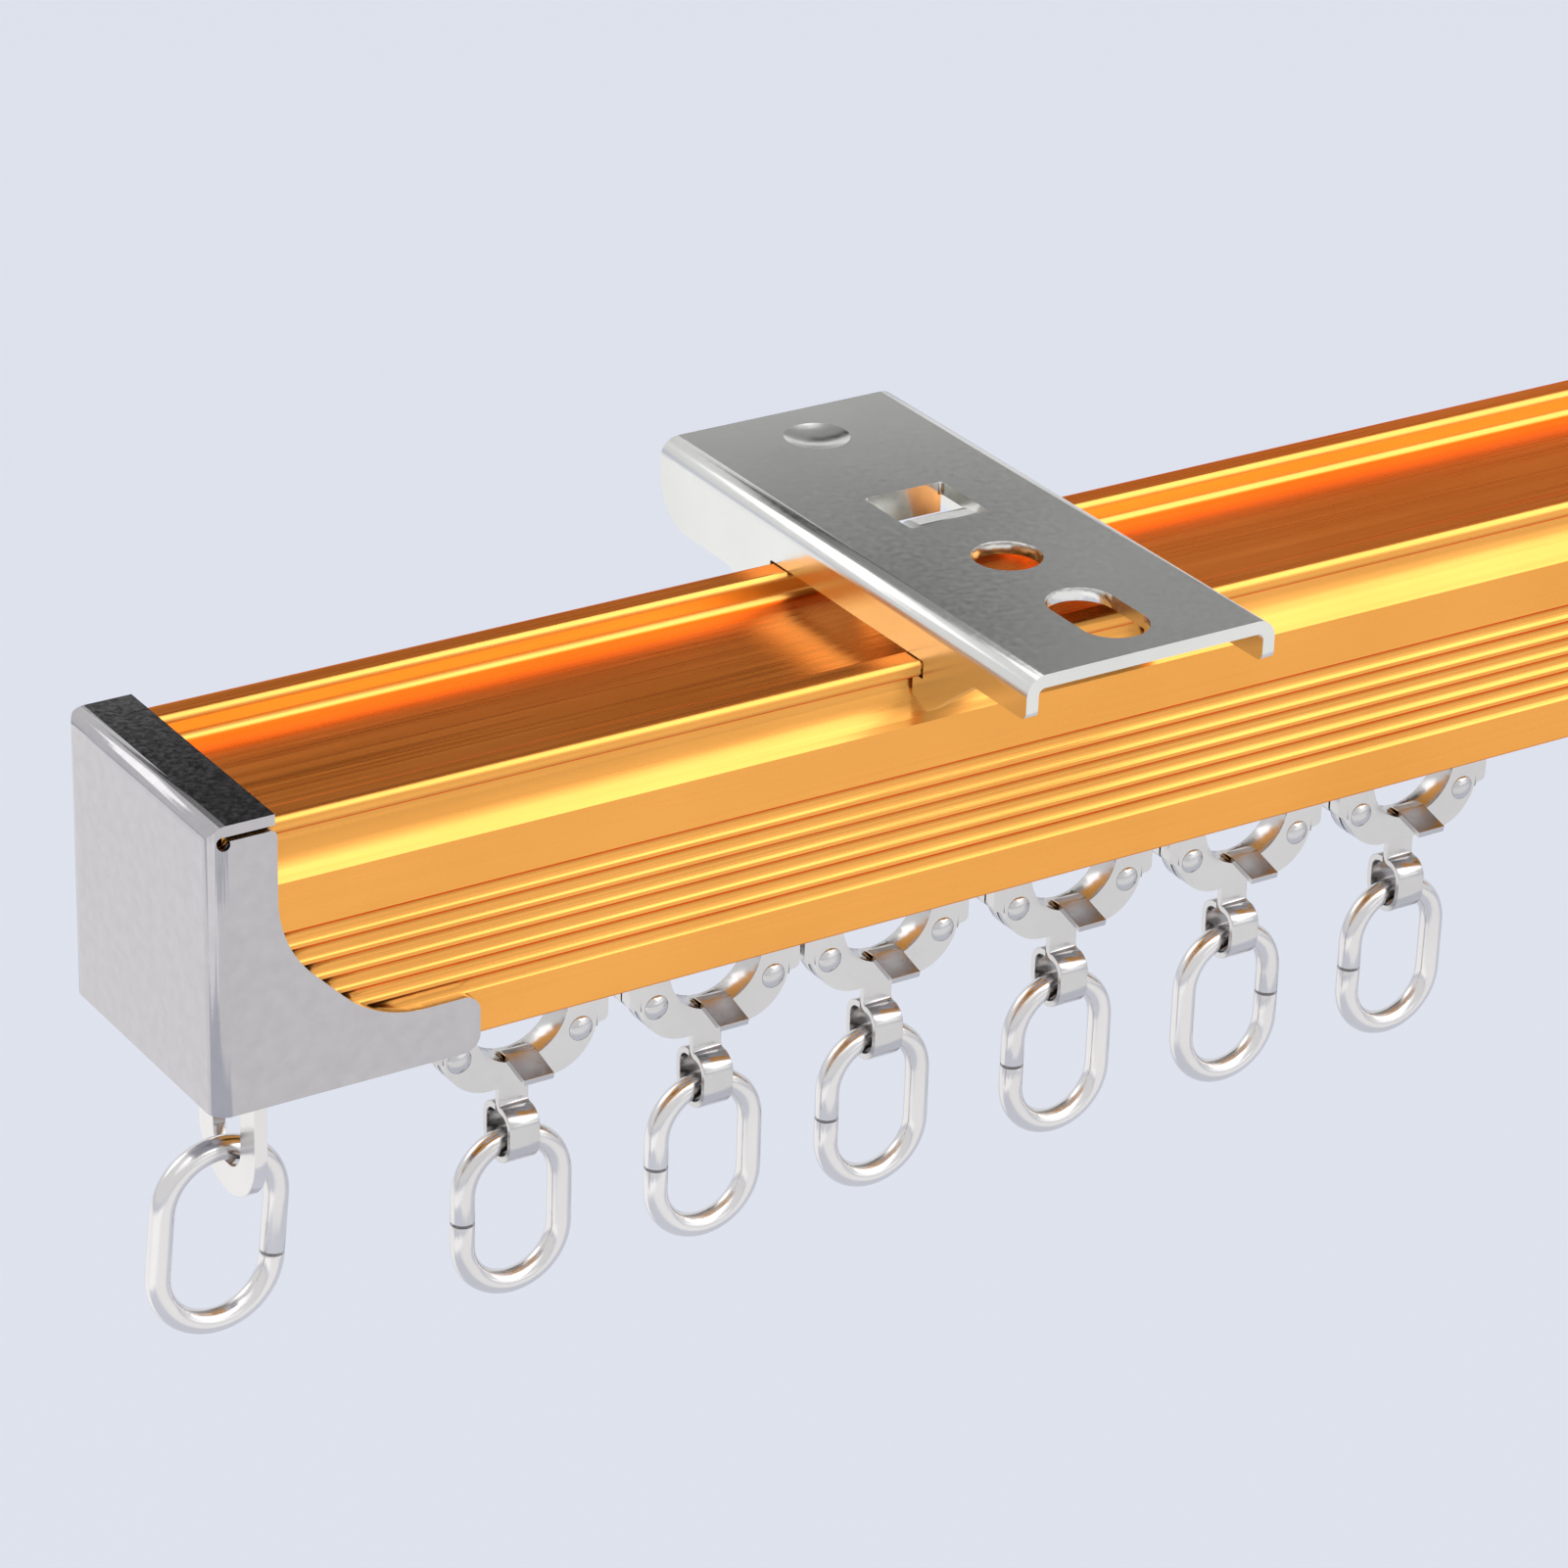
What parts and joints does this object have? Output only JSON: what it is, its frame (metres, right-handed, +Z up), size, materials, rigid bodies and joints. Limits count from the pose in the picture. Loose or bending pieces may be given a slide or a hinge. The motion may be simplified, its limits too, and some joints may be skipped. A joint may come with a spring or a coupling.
{
  "type": "curtain track",
  "caption": "Ceiling-fixed curtain track: a ribbed channel rail with sheet end caps, clip-over ceiling brackets and wheeled runners that carry rings for curtain hooks.",
  "frame": {"origin": "the left bracket's top face, on the rail's middle line and midway across the bracket", "axes": "+X along the rail from the left end to the right, +Y from the room to the wall, +Z up to the ceiling"},
  "size_m": [0.3004, 0.0481, 0.052],
  "materials": {
    "gold_anodised": "bright anodised",
    "satin_steel": "satin",
    "bright_nickel": "bright plated",
    "plain_nickel": "plated",
    "axle_steel": "plain",
    "white_plastic": "moulded"
  },
  "bodies": {
    "track": {"rail": "gold_anodised", "left_end_cap": "satin_steel", "left_cap_eye": "bright_nickel", "left_bracket": "bright_nickel", "right_end_cap": "satin_steel", "right_cap_eye": "bright_nickel", "right_bracket": "bright_nickel"},
    "left_hook_ring": {"left_cap_ring": "bright_nickel"},
    "right_hook_ring": {"right_cap_ring": "bright_nickel"},
    "carriage_1": {"runner_1_front_plate": "plain_nickel", "runner_1_rear_plate": "plain_nickel", "runner_1_rivets": "plain_nickel", "runner_1_strap": "plain_nickel"},
    "wheelset_1": {"runner_1_axle": "axle_steel", "runner_1_front_wheel": "white_plastic", "runner_1_rear_wheel": "white_plastic"},
    "ring_1": {"runner_1_ring": "bright_nickel"},
    "carriage_2": {"runner_2_front_plate": "plain_nickel", "runner_2_rear_plate": "plain_nickel", "runner_2_rivets": "plain_nickel", "runner_2_strap": "plain_nickel"},
    "wheelset_2": {"runner_2_axle": "axle_steel", "runner_2_front_wheel": "white_plastic", "runner_2_rear_wheel": "white_plastic"},
    "ring_2": {"runner_2_ring": "bright_nickel"},
    "carriage_3": {"runner_3_front_plate": "plain_nickel", "runner_3_rear_plate": "plain_nickel", "runner_3_rivets": "plain_nickel", "runner_3_strap": "plain_nickel"},
    "wheelset_3": {"runner_3_axle": "axle_steel", "runner_3_front_wheel": "white_plastic", "runner_3_rear_wheel": "white_plastic"},
    "ring_3": {"runner_3_ring": "bright_nickel"},
    "carriage_4": {"runner_4_front_plate": "plain_nickel", "runner_4_rear_plate": "plain_nickel", "runner_4_rivets": "plain_nickel", "runner_4_strap": "plain_nickel"},
    "wheelset_4": {"runner_4_axle": "axle_steel", "runner_4_front_wheel": "white_plastic", "runner_4_rear_wheel": "white_plastic"},
    "ring_4": {"runner_4_ring": "bright_nickel"},
    "carriage_5": {"runner_5_front_plate": "plain_nickel", "runner_5_rear_plate": "plain_nickel", "runner_5_rivets": "plain_nickel", "runner_5_strap": "plain_nickel"},
    "wheelset_5": {"runner_5_axle": "axle_steel", "runner_5_front_wheel": "white_plastic", "runner_5_rear_wheel": "white_plastic"},
    "ring_5": {"runner_5_ring": "bright_nickel"},
    "carriage_6": {"runner_6_front_plate": "plain_nickel", "runner_6_rear_plate": "plain_nickel", "runner_6_rivets": "plain_nickel", "runner_6_strap": "plain_nickel"},
    "wheelset_6": {"runner_6_axle": "axle_steel", "runner_6_front_wheel": "white_plastic", "runner_6_rear_wheel": "white_plastic"},
    "ring_6": {"runner_6_ring": "bright_nickel"}
  },
  "joints": [
    {"name": "left_cap_ring_swing", "type": "hinge", "parent": "track", "child": "left_hook_ring", "pos_m": [-0.0598, 0, -0.03374], "axis": [1, 0, 0], "range_deg": [-60, 60]},
    {"name": "right_cap_ring_swing", "type": "hinge", "parent": "track", "child": "right_hook_ring", "pos_m": [0.2268, 0, -0.03374], "axis": [1, 0, 0], "range_deg": [-60, 60]},
    {"name": "runner_1_slide", "type": "slide", "parent": "track", "child": "carriage_1", "axis": [1, 0, 0], "range_m": [-0.012, 0.029]},
    {"name": "runner_1_roll", "type": "hinge", "parent": "carriage_1", "child": "wheelset_1", "pos_m": [-0.0376, 0, -0.0165], "axis": [0, 1, 0], "continuous": true},
    {"name": "runner_1_ring_swing", "type": "hinge", "parent": "carriage_1", "child": "ring_1", "pos_m": [-0.0376, 0, -0.03915], "axis": [1, 0, 0], "range_deg": [-75, 75]},
    {"name": "runner_2_slide", "type": "slide", "parent": "carriage_1", "child": "carriage_2", "axis": [1, 0, 0], "range_m": [-0.0017, 0.029]},
    {"name": "runner_2_roll", "type": "hinge", "parent": "carriage_2", "child": "wheelset_2", "pos_m": [-0.0214, 0, -0.0165], "axis": [0, 1, 0], "continuous": true},
    {"name": "runner_2_ring_swing", "type": "hinge", "parent": "carriage_2", "child": "ring_2", "pos_m": [-0.0214, 0, -0.03915], "axis": [1, 0, 0], "range_deg": [-75, 75]},
    {"name": "runner_3_slide", "type": "slide", "parent": "carriage_2", "child": "carriage_3", "axis": [1, 0, 0], "range_m": [-0.0003, 0.029]},
    {"name": "runner_3_roll", "type": "hinge", "parent": "carriage_3", "child": "wheelset_3", "pos_m": [-0.0066, 0, -0.0165], "axis": [0, 1, 0], "continuous": true},
    {"name": "runner_3_ring_swing", "type": "hinge", "parent": "carriage_3", "child": "ring_3", "pos_m": [-0.0066, 0, -0.03915], "axis": [1, 0, 0], "range_deg": [-75, 75]},
    {"name": "runner_4_slide", "type": "slide", "parent": "carriage_3", "child": "carriage_4", "axis": [1, 0, 0], "range_m": [-0.0022, 0.029]},
    {"name": "runner_4_roll", "type": "hinge", "parent": "carriage_4", "child": "wheelset_4", "pos_m": [0.0101, 0, -0.0165], "axis": [0, 1, 0], "continuous": true},
    {"name": "runner_4_ring_swing", "type": "hinge", "parent": "carriage_4", "child": "ring_4", "pos_m": [0.0101, 0, -0.03915], "axis": [1, 0, 0], "range_deg": [-75, 75]},
    {"name": "runner_5_slide", "type": "slide", "parent": "carriage_4", "child": "carriage_5", "axis": [1, 0, 0], "range_m": [-0.0015, 0.029]},
    {"name": "runner_5_roll", "type": "hinge", "parent": "carriage_5", "child": "wheelset_5", "pos_m": [0.0261, 0, -0.0165], "axis": [0, 1, 0], "continuous": true},
    {"name": "runner_5_ring_swing", "type": "hinge", "parent": "carriage_5", "child": "ring_5", "pos_m": [0.0261, 0, -0.03915], "axis": [1, 0, 0], "range_deg": [-75, 75]},
    {"name": "runner_6_slide", "type": "slide", "parent": "carriage_5", "child": "carriage_6", "axis": [1, 0, 0], "range_m": [-0.0016, 0.029]},
    {"name": "runner_6_roll", "type": "hinge", "parent": "carriage_6", "child": "wheelset_6", "pos_m": [0.0422, 0, -0.0165], "axis": [0, 1, 0], "continuous": true},
    {"name": "runner_6_ring_swing", "type": "hinge", "parent": "carriage_6", "child": "ring_6", "pos_m": [0.0422, 0, -0.03915], "axis": [1, 0, 0], "range_deg": [-75, 75]}
  ]
}
